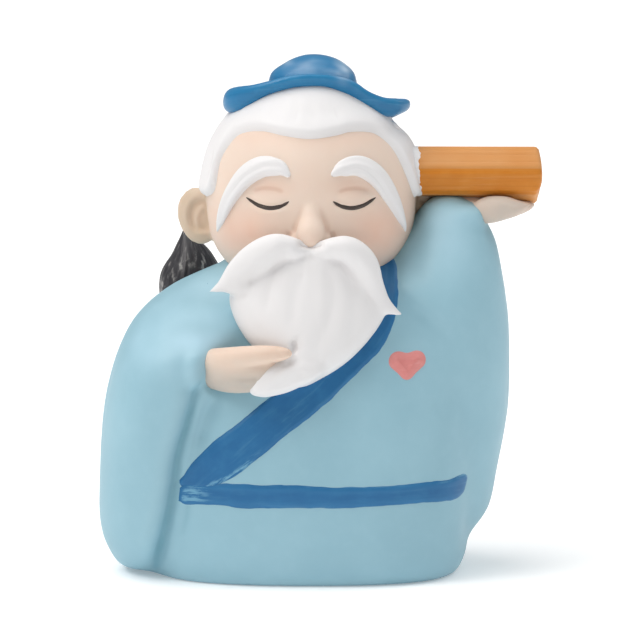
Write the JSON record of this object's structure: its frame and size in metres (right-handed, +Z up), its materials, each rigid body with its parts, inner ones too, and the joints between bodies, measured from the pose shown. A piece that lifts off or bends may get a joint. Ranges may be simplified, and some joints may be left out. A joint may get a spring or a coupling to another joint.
{
  "type": "god of learning figurine",
  "caption": "Small cast resin ornament of an old scholar deity stroking a white beard, a roll of slips raised in one hand, hand-painted; stands on a flat base.",
  "frame": {"origin": "middle of the flat face that the figurine stands on", "axes": "+Z up along the figure, -Y the way the figure faces, +X to the viewer's right"},
  "size_m": [0.0755, 0.0467, 0.088],
  "materials": {
    "robe_paint": "satin hand paint over cast resin, light blue",
    "trim_paint": "satin hand paint, dark blue, brush streaks",
    "skin_paint": "matt sprayed paint, flesh colour with blush",
    "hair_paint": "matt white paint",
    "roll_paint": "satin hand paint, ochre brown",
    "heart_paint": "satin hand paint, pink",
    "bristle_paint": "black paint with pale dry-brushed streaks",
    "handle_paint": "satin brown paint"
  },
  "bodies": {
    "root": {"figurine": "robe_paint"}
  },
  "joints": []
}
